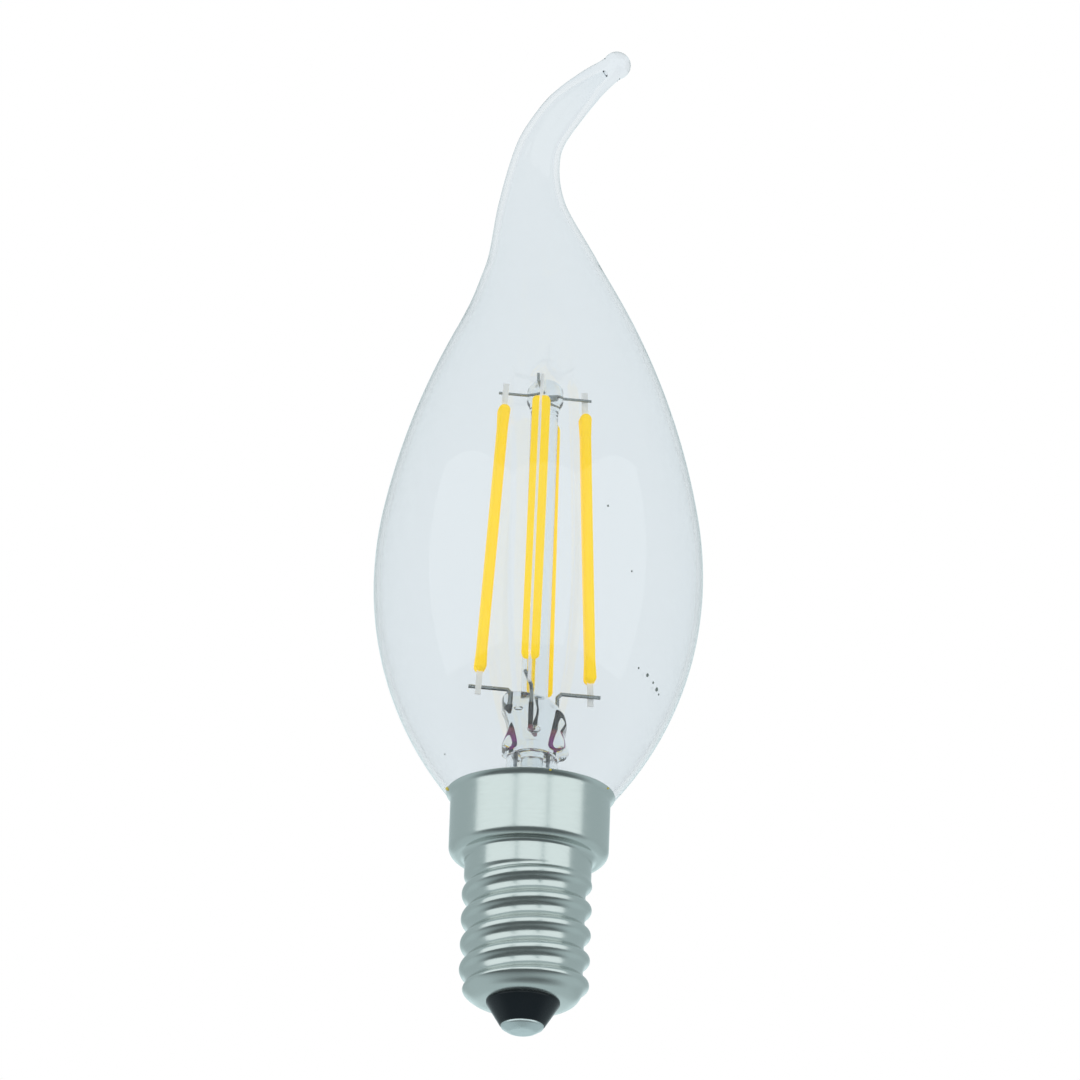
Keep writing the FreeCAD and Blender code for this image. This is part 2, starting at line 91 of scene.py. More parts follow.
def tree_math(tree, operation, *values):
    """One sum in a node tree, from numbers or outputs of other nodes."""
    node = tree.nodes.new("ShaderNodeMath")
    node.operation = operation
    for socket, value in zip(node.inputs, values):
        feed(tree, socket, value)
    return node.outputs[0]


def tree_ramp(tree, value, low, high, start, end, smooth=False):
    """Runs from start to end while the value runs from low to high."""
    node = tree.nodes.new("ShaderNodeMapRange")
    node.interpolation_type = "SMOOTHSTEP" if smooth else "LINEAR"
    names = ("Value", "From Min", "From Max", "To Min", "To Max")
    for name, given_value in zip(names, (value, low, high, start, end)):
        feed(tree, node.inputs[name], given_value)
    return node.outputs["Result"]


ray = sky.nodes.new("ShaderNodeLightPath")
direction = sky.nodes.new("ShaderNodeTexCoord")
axes = sky.nodes.new("ShaderNodeSeparateXYZ")
sky.links.new(direction.outputs["Generated"], axes.inputs[0])
front_to_back = tree_ramp(sky, axes.outputs["Y"], *cloth_edge, front_grey, behind_white)
below = tree_ramp(sky, axes.outputs["Y"], *below_front_edge, below_front_grey, below_grey)
seen_by_gloss = tree_ramp(sky, axes.outputs["Z"], *below_edge, below, front_to_back)
straight = tree_math(sky, "ADD", ray.outputs["Is Camera Ray"], ray.outputs["Is Transmission Ray"])
straight.node.use_clamp = True
mirrored = tree_math(sky, "SUBTRACT", ray.outputs["Is Glossy Ray"], ray.outputs["Is Transmission Ray"])
mirrored.node.use_clamp = True
gloss_part = tree_ramp(sky, mirrored, 0, 1, room_fill, seen_by_gloss)
strength = tree_ramp(sky, straight, 0, 1, gloss_part, behind_white)
tint = sky.nodes.new("ShaderNodeMix")
tint.data_type = "RGBA"
sky.links.new(mirrored, tint.inputs["Factor"])
tint.inputs["A"].default_value = (1, 1, 1, 1)
tint.inputs["B"].default_value = room_tint
white = sky.nodes.new("ShaderNodeBackground")
sky.links.new(tint.outputs["Result"], white.inputs["Color"])
sky.links.new(strength, white.inputs["Strength"])
sky_out = sky.nodes.new("ShaderNodeOutputWorld")
sky.links.new(white.outputs[0], sky_out.inputs["Surface"])

panel_away = 1.25
panel_tall = 1.5
panel_middle = 0.3
panel_aim = Vector((0, 0, 0.05))
panel_brightness = 0.58


def soft_panel(name, from_azimuth, to_azimuth):
    """A tall lit panel that stands between two directions, counted from the front towards the right."""
    middle = math.radians((from_azimuth + to_azimuth) / 2)
    half = math.radians((to_azimuth - from_azimuth) / 2)
    light = bpy.data.lights.new(name, "AREA")
    light.shape = "RECTANGLE"
    light.size = 2 * panel_away * math.tan(half)
    light.size_y = panel_tall
    light.energy = panel_brightness * math.pi * light.size * light.size_y
    panel = bpy.data.objects.new(name, light)
    bpy.context.collection.objects.link(panel)
    panel.location = (math.sin(middle) * panel_away, -math.cos(middle) * panel_away, panel_middle)
    panel.rotation_mode = "QUATERNION"
    panel.rotation_quaternion = (panel_aim - panel.location).to_track_quat("-Z", "Y")
    panel.visible_camera = False
    panel.visible_transmission = False


soft_panel("left_panel", -82, -23.5)
soft_panel("middle_panel", -19.5, 23.5)
soft_panel("right_panel", 27.5, 79)


def material(name, color, roughness, **inputs):
    """A plain Principled finish. Each value goes on the shader's own socket."""
    made = bpy.data.materials.new(name)
    made.use_nodes = True
    shader = made.node_tree.nodes["Principled BSDF"]
    shader.inputs["Base Color"].default_value = (*color, 1)
    shader.inputs["Roughness"].default_value = roughness
    for key, value in inputs.items():
        shader.inputs[key.replace("_", " ")].default_value = value
    return made


floor_half = 0.6
floor_height = -3.2
corners = [(x * floor_half, y * floor_half, floor_height) for x, y in ((-1, -1), (1, -1), (1, 1), (-1, 1))]
floor_mesh = bpy.data.meshes.new("floor")
floor_mesh.from_pydata(corners, [], [(0, 1, 2, 3)])
floor_mesh.materials.append(material("pale_floor", (0.8, 0.8, 0.8), 0.9))
floor = bpy.data.objects.new("floor", floor_mesh)
bpy.context.collection.objects.link(floor)
floor.visible_glossy = False

# Glass bulb
# Blown soda glass, a thin wall all round, candle shaped, drawn out to a bent tail with a solid bead.
# Its neck is fused to the stem's flare inside the collar.
wall = 0.6
neck_radius = 7.5
neck_bottom = 20.3
neck_top = 23.6
neck_join = 2.6
bulb_radius = 17.5
widest = 50.5
belly_curve = 37.2
shoulder_curve = 40.0
taper_start = 58.0
taper_curve = 80.0
bend_start = 78.5
bead_radius = 1.5
bead_neck = 1.42
bead_start = 0.5
level_share = 0.45
curve_over_chord = 1.01
solid_tip = 2.9
cavity_closes_over = 6
cavity_closes_by = 0.4
cavity_drawn_out = 2.2
straight_rings = 110
tail_rings = 90
tip_rings = 14
around = 160


def glass_radius(height):
    """The outer radius of the straight part: a plain neck, and three arcs that run into each other."""
    rise = height - widest
    if height <= neck_top:
        return neck_radius
    if height <= widest:
        belly = bulb_radius - belly_curve + math.sqrt(belly_curve ** 2 - rise ** 2)
        join = min((height - neck_top) / neck_join, 1)
        return neck_radius + (belly - neck_radius) * (3 * join ** 2 - 2 * join ** 3)
    if height <= taper_start:
        return bulb_radius - shoulder_curve + math.sqrt(shoulder_curve ** 2 - rise ** 2)
    turn = math.asin((taper_start - widest) / shoulder_curve)
    further = taper_curve - shoulder_curve
    inwards = bulb_radius - shoulder_curve - math.cos(turn) * further
    down = widest - math.sin(turn) * further
    return inwards + math.sqrt(taper_curve ** 2 - (height - down) ** 2)


def smooth_through(points, values, at):
    """A smooth value at one place, from values (numbers or vectors) at rising places."""
    last = len(points) - 1
    i = max(j for j in range(last) if points[j] <= at or j == 0)

    def slope(j):
        low, high = max(j - 1, 0), min(j + 1, last)
        return (values[high] - values[low]) / (points[high] - points[low])

    gap = points[i + 1] - points[i]
    t = (at - points[i]) / gap
    start = values[i] * (2 * t ** 3 - 3 * t ** 2 + 1) + slope(i) * (gap * (t ** 3 - 2 * t ** 2 + t))
    end = values[i + 1] * (3 * t ** 2 - 2 * t ** 3) + slope(i + 1) * (gap * (t ** 3 - t ** 2))
    return start + end


tail_route = [
    (-0.8, -3), (0, 0), (-0.8, 7.2), (-2.15, 14.6), (-1.75, 21.0), (0.15, 25.0), (3.35, 28.8), (6.35, 31.4),
]
tail_points = [Vector((x, 0, bend_start + rise)) for x, rise in tail_route]
tail_marks = [-3.0, 0.0]
for low, high in zip(tail_points[1:], tail_points[2:]):
    tail_marks.append(tail_marks[-1] + (high - low).length * curve_over_chord)
tail_length = tail_marks[-1]
tail_sizes = [
    (-3, glass_radius(bend_start - 3)), (0, glass_radius(bend_start)), (5, 7.5), (10, 5.35), (15, 3.7),
    (19, 2.8), (23.5, 2.3), (27.5, 2.15), (tail_length - 1.8 * bead_radius, 1.6),
    (tail_length - 0.8 * bead_radius, bead_neck), (tail_length, bead_neck),
]


def glass_rings(inset):
    """The centre, direction and radius of each ring of one skin, from the neck to the bead."""
    up = Vector((0, 0, 1))
    rings = []
    gap = 0.1
    for i in range(straight_rings + 1):
        height = neck_bottom + (bend_start - neck_bottom) * i / straight_rings
        slope = (glass_radius(height + gap) - glass_radius(height - gap)) / (2 * gap)
        rings.append((up * height, up, glass_radius(height) - inset * math.sqrt(1 + slope ** 2)))
    end = tail_length - (solid_tip if inset else bead_start)
    marks = [mark for mark, size in tail_sizes]
    sizes = [size for mark, size in tail_sizes]
    gap = 0.05
    for i in range(1, tail_rings + 1):
        mark = end * i / tail_rings
        near = (mark - gap, mark, mark + gap)
        behind, centre, before = [smooth_through(tail_marks, tail_points, at) for at in near]
        narrow, radius, wide = [smooth_through(marks, sizes, at) for at in near]
        slope = (wide - narrow) / (2 * gap)
        bend = min(1, mark / (level_share * tail_length))
        forward = (up * (1 - bend) + (before - behind).normalized() * bend).normalized()
        if inset:
            radius -= cavity_closes_by * max(0, (mark - end) / cavity_closes_over + 1) ** 2
        rings.append((centre, forward, radius - inset * math.sqrt(1 + slope ** 2)))
    centre, forward, radius = rings[-1]
    if inset:
        middle, tip_radius, first = centre, radius, 0
        tip_length = radius * cavity_drawn_out
    else:
        middle, tip_radius, first = tail_points[-1], bead_radius, math.asin(bead_start / bead_radius)
        tip_length = bead_radius
    for i in range(1, tip_rings):
        turn = -first + (math.pi / 2 + first) * i / tip_rings
        rings.append((middle + forward * tip_length * math.sin(turn), forward, tip_radius * math.cos(turn)))
    return rings, middle + forward * tip_length


def ringed(rings, tip, turned_in):
    """Points and faces of one skin through rings, closed at its tip. Its seam lies to the right."""
    points = []
    for centre, forward, radius in rings:
        across = Vector((0, 1, 0))
        side = across.cross(forward).normalized()
        for j in range(around):
            turn = 2 * math.pi * j / around
            points.append(centre + (side * math.cos(turn) + across * math.sin(turn)) * radius)
    points.append(tip)
    faces = []
    for i in range(len(rings) - 1):
        for j in range(around):
            k = (j + 1) % around
            faces.append((i * around + j, i * around + k, (i + 1) * around + k, (i + 1) * around + j))
    for j in range(around):
        k = (j + 1) % around
        faces.append(((len(rings) - 1) * around + j, (len(rings) - 1) * around + k, len(points) - 1))
    if turned_in:
        faces = [tuple(reversed(face)) for face in faces]
    return points, faces


def placed(name, mesh, finish, edge_angle=None):
    """A piece at the origin from its mesh, smooth but for edges sharper than the angle."""
    mesh.shade_smooth()
    if edge_angle:
        mesh.set_sharp_from_angle(angle=math.radians(edge_angle))
    mesh.materials.append(finish)
    made = bpy.data.objects.new(name, mesh)
    bpy.context.collection.objects.link(made)
    return made


def piece(name, points, faces, finish, edge_angle=40.0):
    """A finished piece from points in millimetres."""
    mesh = bpy.data.meshes.new(name)
    mesh.from_pydata([Vector(point) * MM for point in points], [], faces)
    return placed(name, mesh, finish, edge_angle)


def vary(made, socket, scale, low, high, stretch=(1, 1, 1)):
    """Lets one socket of a finish wander between two values, as a real surface's does."""
    tree = made.node_tree
    place = tree.nodes.new("ShaderNodeTexCoord")
    mapping = tree.nodes.new("ShaderNodeMapping")
    mapping.inputs["Scale"].default_value = stretch
    noise = tree.nodes.new("ShaderNodeTexNoise")
    noise.inputs["Scale"].default_value = scale
    noise.inputs["Detail"].default_value = 3
    tree.links.new(place.outputs["Object"], mapping.inputs["Vector"])
    tree.links.new(mapping.outputs["Vector"], noise.inputs["Vector"])
    if isinstance(low, tuple):
        mix = tree.nodes.new("ShaderNodeMix")
        mix.data_type = "RGBA"
        mix.inputs["A"].default_value = (*low, 1)
        mix.inputs["B"].default_value = (*high, 1)
        tree.links.new(noise.outputs["Fac"], mix.inputs["Factor"])
        wandering = mix.outputs["Result"]
    else:
        usual_low, usual_high = 0.3, 0.7
        wandering = tree_ramp(tree, noise.outputs["Fac"], usual_low, usual_high, low, high)
    tree.links.new(wandering, tree.nodes["Principled BSDF"].inputs[socket])


def tint_by_thickness(made, tint, strength):
    """Lets the glass itself take some light away, so it is darker where a ray runs far through it."""
    tree = made.node_tree
    absorb = tree.nodes.new("ShaderNodeVolumeAbsorption")
    absorb.inputs["Color"].default_value = (*tint, 1)
    absorb.inputs["Density"].default_value = strength
    tree.links.new(absorb.outputs[0], tree.nodes["Material Output"].inputs["Volume"])


glass_inputs = {"Transmission_Weight": 1.0, "IOR": 1.5, "Specular_IOR_Level": 0.35}
clear_glass = material("clear_glass", (0.89, 0.917, 0.93), 0.0, **glass_inputs)
vary(clear_glass, "Base Color", 35, (0.88, 0.91, 0.926), (0.90, 0.924, 0.934))
tint_by_thickness(clear_glass, (0, 0.32, 0.57), 44)
outer_points, outer_faces = ringed(*glass_rings(0), False)
inner_points, inner_faces = ringed(*glass_rings(wall), True)
skip = len(outer_points)
glass_faces = outer_faces + [tuple(skip + i for i in face) for face in inner_faces]
for j in range(around):
    k = (j + 1) % around
    glass_faces.append((k, j, skip + j, skip + k))
glass = piece("glass_bulb", outer_points + inner_points, glass_faces, clear_glass)
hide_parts("glass_envelope")
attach(glass, "root")

# Screw cap
# Thin sheet, pressed to a cup with a flared lip, with the round thread rolled into it, then nickel plated.
# The thread is right-handed, 2.822 mm from turn to turn, and runs out under the plain neck.
sheet = 0.28
pitch = 2.822
crest_radius = 6.92
root_radius = 6.2
crest_at_right = 5.4
shell_bottom = 3.35
bottom_rounding = 1.5
mouth_radius = 3.93
thread_top = 17.3
run_in = (0.2, 1.7)
run_out = 1.1
thread_steps_round = 160
thread_steps_up = 120
crest_arc_share = 0.39
flank_angle = 2 * math.atan(2 * (crest_radius - root_radius) / pitch)
arcs = pitch / 2 / math.sin(flank_angle)
crest_arc = crest_arc_share * arcs
root_arc = arcs - crest_arc
plain_neck_radius = 6.75
collar_radius = 8.5
collar_bottom = 19.5
lip_radius = 8.98
lip_flare = 26.2
lip_flare_inside = 26.0
lip_top = 26.65
lip_bevel = 0.04
lip_land = 0.06
weld_gap = 0.001

nickel = material("nickel_plate", (0.62, 0.66, 0.64), 0.2, Metallic=1.0)
vary(nickel, "Roughness", 900, 0.17, 0.27, stretch=(1, 1, 6))

thread_tree = bpy.data.node_groups.new("rolled_thread", "GeometryNodeTree")
sizes = {
    "Pitch": pitch, "Crest Radius": crest_radius, "Root Radius": root_radius,
    "Crest At Right": crest_at_right, "Bottom": shell_bottom, "Bottom Rounding": bottom_rounding,
    "Top": thread_top, "Neck Radius": plain_neck_radius, "Sheet": sheet,
    "Crest Arc": crest_arc, "Root Arc": root_arc,
}
for name in sizes:
    thread_tree.interface.new_socket(name, in_out="INPUT", socket_type="NodeSocketFloat")
thread_tree.interface.new_socket("Finish", in_out="INPUT", socket_type="NodeSocketMaterial")
thread_tree.interface.new_socket("Geometry", in_out="OUTPUT", socket_type="NodeSocketGeometry")
given = thread_tree.nodes.new("NodeGroupInput").outputs
sheet_grid = thread_tree.nodes.new("GeometryNodeMeshGrid")
sheet_grid.inputs["Vertices X"].default_value = thread_steps_round + 1
sheet_grid.inputs["Vertices Y"].default_value = 2 * thread_steps_up + 2
spot = thread_tree.nodes.new("GeometryNodeInputPosition")
split = thread_tree.nodes.new("ShaderNodeSeparateXYZ")
thread_tree.links.new(spot.outputs[0], split.inputs[0])


def rolled(operation, *values):
    """One sum in the thread's tree."""
    return tree_math(thread_tree, operation, *values)


def rolled_ramp(*values, smooth=False):
    """One ramp in the thread's tree."""
    return tree_ramp(thread_tree, *values, smooth=smooth)


def arc_level(arc, away):
    """The height of an arc over its centre, at some distance from its top."""
    squares = rolled("SUBTRACT", rolled("POWER", arc, 2), rolled("POWER", away, 2))
    return rolled("SQRT", rolled("MAXIMUM", squares, 0))


share_round = rolled("ADD", split.outputs["X"], 0.5)
share_across = rolled("ADD", split.outputs["Y"], 0.5)
whole_sheet = (2 * thread_steps_up + 1) / thread_steps_up
up_outside = rolled("MULTIPLY", share_across, whole_sheet)
down_inside = rolled("SUBTRACT", whole_sheet, up_outside)
share_up = rolled("MINIMUM", up_outside, down_inside)
inner_skin = rolled("GREATER_THAN", share_across, 0.5)
angle = rolled("MULTIPLY", share_round, 2 * math.pi)
height = rolled_ramp(share_up, 0, 1, given["Bottom"], given["Top"])
turns = rolled("DIVIDE", rolled("SUBTRACT", height, given["Crest At Right"]), given["Pitch"])
off_crest = rolled("PINGPONG", rolled("SUBTRACT", turns, share_round), 0.5)
half_pitch = rolled("MULTIPLY", given["Pitch"], 0.5)
from_crest = rolled("MULTIPLY", off_crest, given["Pitch"])
from_root = rolled("SUBTRACT", half_pitch, from_crest)
depth = rolled("SUBTRACT", given["Crest Radius"], given["Root Radius"])
crest_fall = rolled("SUBTRACT", given["Crest Arc"], arc_level(given["Crest Arc"], from_crest))
on_crest = rolled("SUBTRACT", depth, crest_fall)
in_root = rolled("SUBTRACT", given["Root Arc"], arc_level(given["Root Arc"], from_root))
both_arcs = rolled("ADD", given["Crest Arc"], given["Root Arc"])
crest_ends = rolled("MULTIPLY", half_pitch, rolled("DIVIDE", given["Crest Arc"], both_arcs))
past_crest = rolled("GREATER_THAN", from_crest, crest_ends)
swell = rolled_ramp(past_crest, 0, 1, on_crest, in_root)
from_bottom = rolled("SUBTRACT", height, given["Bottom"])
below_top = rolled("SUBTRACT", given["Top"], height)
fade_in = rolled_ramp(from_bottom, *run_in, 0, 1, smooth=True)
fade_out = rolled_ramp(below_top, 0, run_out, 0, 1, smooth=True)
threaded = rolled("ADD", given["Root Radius"], rolled("MULTIPLY", swell, fade_in))
to_round = rolled("MAXIMUM", rolled("SUBTRACT", given["Bottom Rounding"], from_bottom), 0)
cut_back = rolled("SUBTRACT", given["Bottom Rounding"], arc_level(given["Bottom Rounding"], to_round))
rounded_off = rolled("SUBTRACT", threaded, cut_back)
outer = rolled_ramp(fade_out, 0, 1, given["Neck Radius"], rounded_off)
radius = rolled("SUBTRACT", outer, rolled("MULTIPLY", inner_skin, given["Sheet"]))
lifted = rolled("MAXIMUM", height, rolled("ADD", given["Bottom"], given["Sheet"]))
bent = thread_tree.nodes.new("ShaderNodeCombineXYZ")
thread_tree.links.new(rolled("MULTIPLY", radius, rolled("COSINE", angle)), bent.inputs["X"])
thread_tree.links.new(rolled("MULTIPLY", radius, rolled("SINE", angle)), bent.inputs["Y"])
thread_tree.links.new(rolled_ramp(inner_skin, 0, 1, height, lifted), bent.inputs["Z"])
in_metres = thread_tree.nodes.new("ShaderNodeVectorMath")
in_metres.operation = "SCALE"
in_metres.inputs["Scale"].default_value = MM
thread_tree.links.new(bent.outputs[0], in_metres.inputs[0])
roll = thread_tree.nodes.new("GeometryNodeSetPosition")
seam = thread_tree.nodes.new("GeometryNodeMergeByDistance")
seam.inputs["Distance"].default_value = weld_gap * MM
soften = thread_tree.nodes.new("GeometryNodeSetShadeSmooth")
real = thread_tree.nodes.new("GeometryNodeRealizeInstances")
dress = thread_tree.nodes.new("GeometryNodeSetMaterial")
thread_out = thread_tree.nodes.new("NodeGroupOutput")
thread_tree.links.new(sheet_grid.outputs["Mesh"], roll.inputs["Geometry"])
thread_tree.links.new(in_metres.outputs[0], roll.inputs["Position"])
for before, after in ((roll, seam), (seam, soften), (soften, real), (real, dress), (dress, thread_out)):
    thread_tree.links.new(before.outputs[0], after.inputs[0])
thread_tree.links.new(given["Finish"], dress.inputs["Material"])


def grown(name, tree, values):
    """The plain mesh that a node tree makes with these sizes."""
    holder = bpy.data.objects.new(name, bpy.data.meshes.new(name))
    bpy.context.collection.objects.link(holder)
    modifier = holder.modifiers.new("made", "NODES")
    modifier.node_group = tree
    for item in tree.interface.items_tree:
        if item.in_out == "INPUT" and item.name in values:
            modifier[item.identifier] = values[item.name]
    bpy.context.view_layer.update()
    evaluated = holder.evaluated_get(bpy.context.evaluated_depsgraph_get())
    mesh = bpy.data.meshes.new_from_object(evaluated)
    holder.modifiers.clear()
    holder.data = mesh
    mesh.name = name
    return holder


def rounded(rows):
    """An outline from rows of (radius, height, rounding), with an arc at each rounded corner."""
    points = []
    for i, (radius, height, rounding) in enumerate(rows):
        corner = Vector((radius, height))
        if not rounding:
            points.append(corner)
            continue
        back = (Vector(rows[i - 1][:2]) - corner).normalized()
        on = (Vector(rows[(i + 1) % len(rows)][:2]) - corner).normalized()
        half = back.angle(on) / 2
        middle = corner + (back + on).normalized() * rounding / math.sin(half)
        start = corner + back * rounding / math.tan(half) - middle
        end = corner + on * rounding / math.tan(half) - middle
        steps = 8
        whole = math.pi - 2 * half
        part = math.sin(whole)
        for j in range(steps + 1):
            turn = j / steps * whole
            points.append(middle + start * math.sin(whole - turn) / part + end * math.sin(turn) / part)
    return points


def turned(name, rows, finish, closed=True, sides=192, edge_angle=40.0):
    """A piece turned from an outline that runs anticlockwise in the radius and height plane."""
    outline = rounded(rows)
    on_axis = 1e-6
    points = []
    faces = []
    starts = []
    for radius, height in outline:
        starts.append(len(points))
        if radius < on_axis:
            points.append(Vector((0, 0, height)))
            continue
        for j in range(sides):
            turn = 2 * math.pi * j / sides
            points.append(Vector((radius * math.cos(turn), radius * math.sin(turn), height)))
    count = len(outline)
    for i in range(count if closed else count - 1):
        a, b = i, (i + 1) % count
        point_a, point_b = outline[a].x < on_axis, outline[b].x < on_axis
        if point_a and point_b:
            continue
        for j in range(sides):
            k = (j + 1) % sides
            if point_a:
                faces.append((starts[a], starts[b] + k, starts[b] + j))
            elif point_b:
                faces.append((starts[a] + j, starts[a] + k, starts[b]))
            else:
                faces.append((starts[a] + j, starts[a] + k, starts[b] + k, starts[b] + j))
    return piece(name, points, faces, finish, edge_angle)


thread = grown("screw_thread", thread_tree, {**sizes, "Finish": nickel})
collar = turned("cap_collar", [
    (plain_neck_radius, thread_top, 0),
    (plain_neck_radius, collar_bottom, 0.6),
    (collar_radius, collar_bottom, 1.0),
    (collar_radius, lip_flare, 1.1),
    (lip_radius, lip_top - 1.5 * lip_bevel, lip_bevel),
    (lip_radius - lip_bevel, lip_top, 0.02),
    (lip_radius - lip_bevel - lip_land, lip_top, 0.02),
    (collar_radius - sheet, lip_flare_inside, 0.5),
    (collar_radius - sheet, collar_bottom + sheet, 0.7),
    (plain_neck_radius - sheet, collar_bottom + sheet, 0.3),
    (plain_neck_radius - sheet, thread_top, 0),
], nickel, closed=False, sides=160)
mouth = turned("cap_mouth", [
    (root_radius - bottom_rounding - sheet, shell_bottom + sheet, 0),
    (mouth_radius, shell_bottom + sheet, 0),
    (mouth_radius, shell_bottom, 0),
    (root_radius - bottom_rounding, shell_bottom, 0),
], nickel, closed=False, sides=160)


def opened(closed_piece, height):
    """Takes off the flat band that closes a piece at one height, where the next piece goes on."""
    mesh = bmesh.new()
    mesh.from_mesh(closed_piece.data)
    just_under = (height - weld_gap) * MM
    band = [face for face in mesh.faces if min(corner.co.z for corner in face.verts) > just_under]
    bmesh.ops.delete(mesh, geom=band, context="FACES")
    mesh.to_mesh(closed_piece.data)
    mesh.free()


def joined(name, pieces, finish, edge_angle):
    """One closed mesh from open ones that meet edge to edge."""
    whole = bmesh.new()
    for each in pieces:
        whole.from_mesh(each.data)
        bpy.data.objects.remove(each)
    bmesh.ops.remove_doubles(whole, verts=whole.verts, dist=2 * weld_gap * MM)
    bmesh.ops.recalc_face_normals(whole, faces=whole.faces)
    mesh = bpy.data.meshes.new(name)
    whole.to_mesh(mesh)
    whole.free()
    return placed(name, mesh, finish, edge_angle)


opened(thread, thread_top)
shell = joined("screw_shell", [thread, collar, mouth], nickel, edge_angle=50)
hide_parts("cap_shell")
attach(shell, "root")

# Insulator
# A smooth black plug, moulded, that the shell's rounded bottom grips and the contact is pressed into.
black = material("black_insulator", (0.008, 0.012, 0.015), 0.2, Specular_IOR_Level=0.25)
vary(black, "Roughness", 700, 0.16, 0.26)
pin_radius = 0.8
contact_rim = 0.78
plug_end_radius = 2.42
cone_top = 3.2
plug_seat = shell_bottom + sheet
plug_seat_radius = 4.65
plug_radius = 5.4
plug_side_bottom = 4.38
plug_top = 5.23
plug = turned("black_plug", [
    (pin_radius, contact_rim, 0),
    (plug_end_radius, contact_rim, 0.1),
    (mouth_radius, cone_top, 0.3),
    (mouth_radius, plug_seat, 0),
    (plug_seat_radius, plug_seat, 0),
    (plug_radius, plug_side_bottom, 0),
    (plug_radius, plug_top, 0),
    (pin_radius, plug_top, 0),
], black, edge_angle=25)
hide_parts("cap_insulator")
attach(plug, "root")

# Bottom contact
# A headed pin of tinned metal, with a flat that rubs bright in the holder and a soft rounded rim.
solder = material("tinned_contact", (0.64, 0.71, 0.71), 0.32, Metallic=1.0)
vary(solder, "Roughness", 1100, 0.25, 0.42)
contact_flat = 1.45
contact_side_radius = 2.26
contact_side_height = 0.52
contact_radius = 2.31
pin_top = 5.6
contact = turned("bottom_contact", [
    (0, 0, 0),
    (contact_flat, 0, 0.8),
    (contact_side_radius, contact_side_height, 0.25),
    (contact_radius, contact_rim, 0.05),
    (pin_radius, contact_rim, 0),
    (pin_radius, pin_top, 0),
    (0, pin_top, 0),
], solder, edge_angle=50)
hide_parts("centre_contact")
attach(contact, "root")

# Stem
# Clear glass tube, flared to meet the bulb's neck, and pinched hot round the wires to a lumpy press.
# A thin exhaust tube hangs inside it, and two bubbles were caught in the press.
stem_glass = material("stem_glass", (0.94, 0.96, 0.965), 0.0, **glass_inputs)
vary(stem_glass, "Base Color", 90, (0.93, 0.95, 0.955), (0.95, 0.97, 0.97))
tint_by_thickness(stem_glass, (0, 0.3, 0.45), 22)
press_top = 37.1
tube_radius = 2.75
tube_wall = 0.5
flare_curve = 5.0
flare_wall = 0.6
flare_middle = 25.83
flare_rim = 6.9
flare_steps = 12
exhaust_radius = 1.2
exhaust_wall = 0.35
exhaust_bottom = 17.9
exhaust_tip_wall = 0.3
exhaust_tip_radius = 0.4
exhaust_tip_rise = 0.1
press_bottom = 32.0
press_rows = [
    (31.2, -2.7, 2.75, 2.4),
    (31.6, -3.3, 3.5, 2.5),
    (32.2, -3.1, 3.5, 2.45),
    (33.1, -2.8, 3.2, 2.4),
    (34.1, -2.7, 3.6, 2.35),
    (35.2, -2.95, 3.35, 2.3),
    (36.3, -3.4, 2.5, 2.2),
    (37.1, -3.4, 1.6, 1.9),
    (37.7, -3.0, -0.2, 1.5),
    (38.05, -2.5, -1.0, 0.9),
]
press_squareness = 8
press_sides = 64
press_lumps = [
    ((2.95, -0.1, 31.55), (0.95, 1.3, 0.95)),
    ((-0.35, -1.1, 35.1), (1.6, 1.35, 2.4)),
    ((0.3, 1.1, 35.1), (1.6, 1.35, 2.4)),
]
melt_grain = 0.13
bubbles = [((0.1, -0.5, 33.7), (0.75, 0.45, 0.45)), ((-1.6, -0.9, 35.9), (0.5, 0.25, 0.25))]


def ball(mesh, middle, radii, detail=4):
    """Adds a ball that is drawn out along the axes."""
    place = Matrix.LocRotScale(Vector(middle), None, Vector(radii))
    bmesh.ops.create_icosphere(mesh, subdivisions=detail, radius=1, matrix=place)


def pinched(mesh, rows, squareness):
    """Adds the flat-sided form that the jaws leave, from rows of (height, left, right, half depth)."""
    rings = []
    for height, left, right, deep in rows:
        middle, half = (left + right) / 2, (right - left) / 2
        ring = []
        for j in range(press_sides):
            turn = 2 * math.pi * j / press_sides
            parts = (math.cos(turn), math.sin(turn))
            across, out = [math.copysign(abs(part) ** (2 / squareness), part) for part in parts]
            ring.append(mesh.verts.new((middle + across * half, out * deep, height)))
        rings.append(ring)
    for low, high in zip(rings, rings[1:]):
        for j in range(press_sides):
            mesh.faces.new((low[j - 1], low[j], high[j], high[j - 1]))
    mesh.faces.new(rings[0][::-1])
    mesh.faces.new(rings[-1])


def flare_side(curve, low_to_high):
    """One side of the flare, as points on its arc between the tube and the rim."""
    arc_centre = tube_radius + flare_curve
    last = math.acos((arc_centre - flare_rim) / curve)
    rows = []
    for i in range(flare_steps + 1):
        turn = last * i / flare_steps
        rows.append((arc_centre - curve * math.cos(turn), flare_middle - curve * math.sin(turn), 0))
    return rows[::-1] if low_to_high else rows


